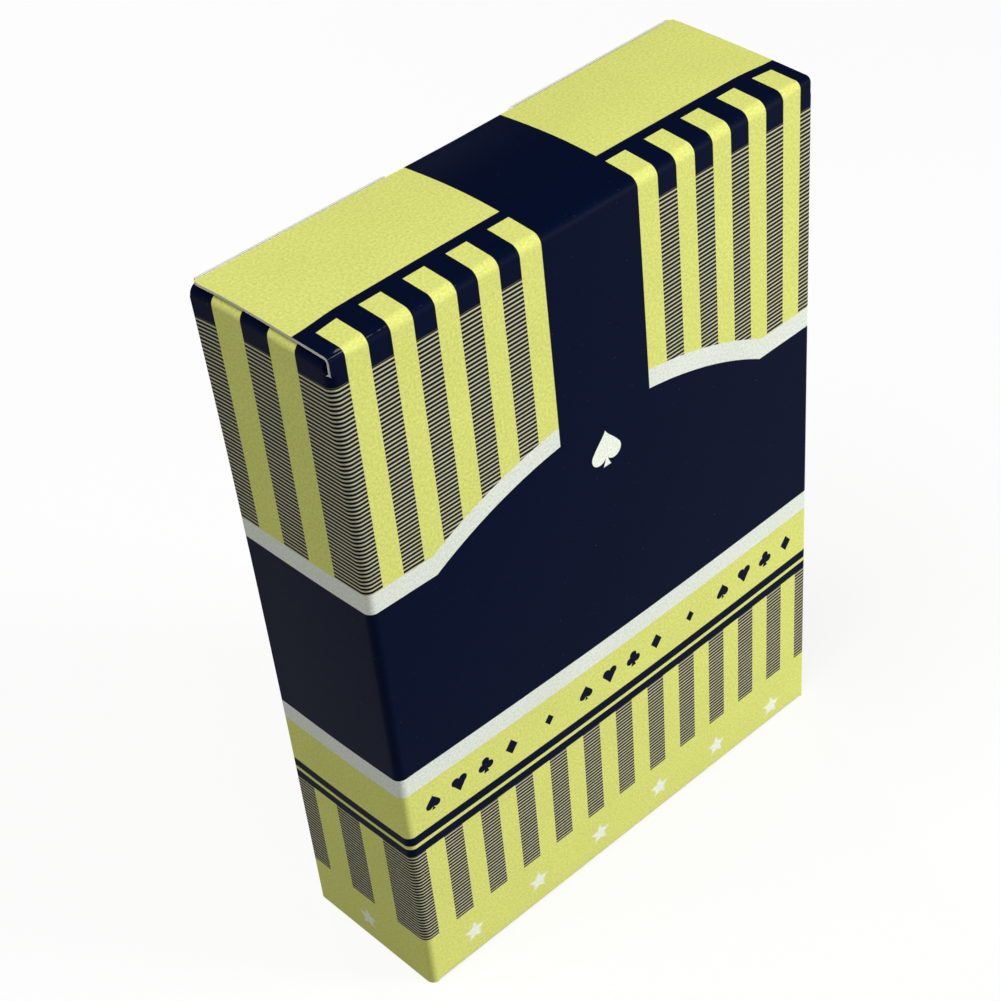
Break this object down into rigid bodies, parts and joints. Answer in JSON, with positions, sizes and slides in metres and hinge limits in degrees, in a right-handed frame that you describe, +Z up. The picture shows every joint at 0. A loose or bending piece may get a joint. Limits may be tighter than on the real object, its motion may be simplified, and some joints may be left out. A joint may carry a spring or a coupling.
{
  "type": "playing card deck",
  "caption": "Deck of poker-size playing cards in a striped paperboard tuck carton, with a lid that folds open at the front, a tuck flap, dust flaps and a thumb notch.",
  "frame": {"origin": "middle of the bottom face, which the carton stands on", "axes": "+Z up towards the lid, -Y out of the front panel, +X to the right seen from the front"},
  "size_m": [0.0666, 0.0202, 0.0915],
  "materials": {
    "carton_board": "gloss",
    "tuck_board": "gloss",
    "flap_board": "satin",
    "card_plastic": "satin"
  },
  "bodies": {
    "carton": {"front_panel": "carton_board", "back_panel": "carton_board", "side_panels": "carton_board"},
    "lid": {"lid_panel": "carton_board"},
    "tuck": {"tuck_flap": "tuck_board"},
    "dust_left": {"dust_flap_left": "flap_board"},
    "dust_right": {"dust_flap_right": "flap_board"},
    "deck": {"card_spades_ace": "card_plastic", "card_spades_2": "card_plastic", "card_spades_3": "card_plastic", "card_spades_4": "card_plastic", "card_spades_5": "card_plastic", "card_spades_6": "card_plastic", "card_spades_7": "card_plastic", "card_spades_8": "card_plastic", "card_spades_9": "card_plastic", "card_spades_10": "card_plastic", "card_spades_jack": "card_plastic", "card_spades_queen": "card_plastic", "card_spades_king": "card_plastic", "card_hearts_ace": "card_plastic", "card_hearts_2": "card_plastic", "card_hearts_3": "card_plastic", "card_hearts_4": "card_plastic", "card_hearts_5": "card_plastic", "card_hearts_6": "card_plastic", "card_hearts_7": "card_plastic", "card_hearts_8": "card_plastic", "card_hearts_9": "card_plastic", "card_hearts_10": "card_plastic", "card_hearts_jack": "card_plastic", "card_hearts_queen": "card_plastic", "card_hearts_king": "card_plastic", "card_clubs_ace": "card_plastic", "card_clubs_2": "card_plastic", "card_clubs_3": "card_plastic", "card_clubs_4": "card_plastic", "card_clubs_5": "card_plastic", "card_clubs_6": "card_plastic", "card_clubs_7": "card_plastic", "card_clubs_8": "card_plastic", "card_clubs_9": "card_plastic", "card_clubs_10": "card_plastic", "card_clubs_jack": "card_plastic", "card_clubs_queen": "card_plastic", "card_clubs_king": "card_plastic", "card_diamonds_ace": "card_plastic", "card_diamonds_2": "card_plastic", "card_diamonds_3": "card_plastic", "card_diamonds_4": "card_plastic", "card_diamonds_5": "card_plastic", "card_diamonds_6": "card_plastic", "card_diamonds_7": "card_plastic", "card_diamonds_8": "card_plastic", "card_diamonds_9": "card_plastic", "card_diamonds_10": "card_plastic", "card_diamonds_jack": "card_plastic", "card_diamonds_queen": "card_plastic", "card_diamonds_king": "card_plastic", "jokers": "card_plastic"}
  },
  "joints": [
    {"name": "lid_hinge", "type": "hinge", "parent": "carton", "child": "lid", "pos_m": [0, -0.00974, 0.09115], "axis": [1, 0, 0], "range_deg": [0, 150]},
    {"name": "tuck_fold", "type": "hinge", "parent": "lid", "child": "tuck", "pos_m": [0, 0.00878, 0.09089], "axis": [1, 0, 0], "range_deg": [-22.5, 0]},
    {"name": "dust_left_fold", "type": "hinge", "parent": "carton", "child": "dust_left", "pos_m": [-0.0329, 0, 0.0906], "axis": [0, -1, 0], "range_deg": [0, 90]},
    {"name": "dust_right_fold", "type": "hinge", "parent": "carton", "child": "dust_right", "pos_m": [0.0329, 0, 0.0906], "axis": [0, 1, 0], "range_deg": [0, 90]},
    {"name": "deck_lift", "type": "slide", "parent": "carton", "child": "deck", "axis": [0, 0, 1], "range_m": [0, 0.0012]}
  ],
  "couplings": [
    {"joint": "tuck_fold", "follows": "lid_hinge", "ratio": -0.15},
    {"joint": "dust_left_fold", "follows": "lid_hinge", "ratio": 0.6},
    {"joint": "dust_right_fold", "follows": "lid_hinge", "ratio": 0.6}
  ]
}
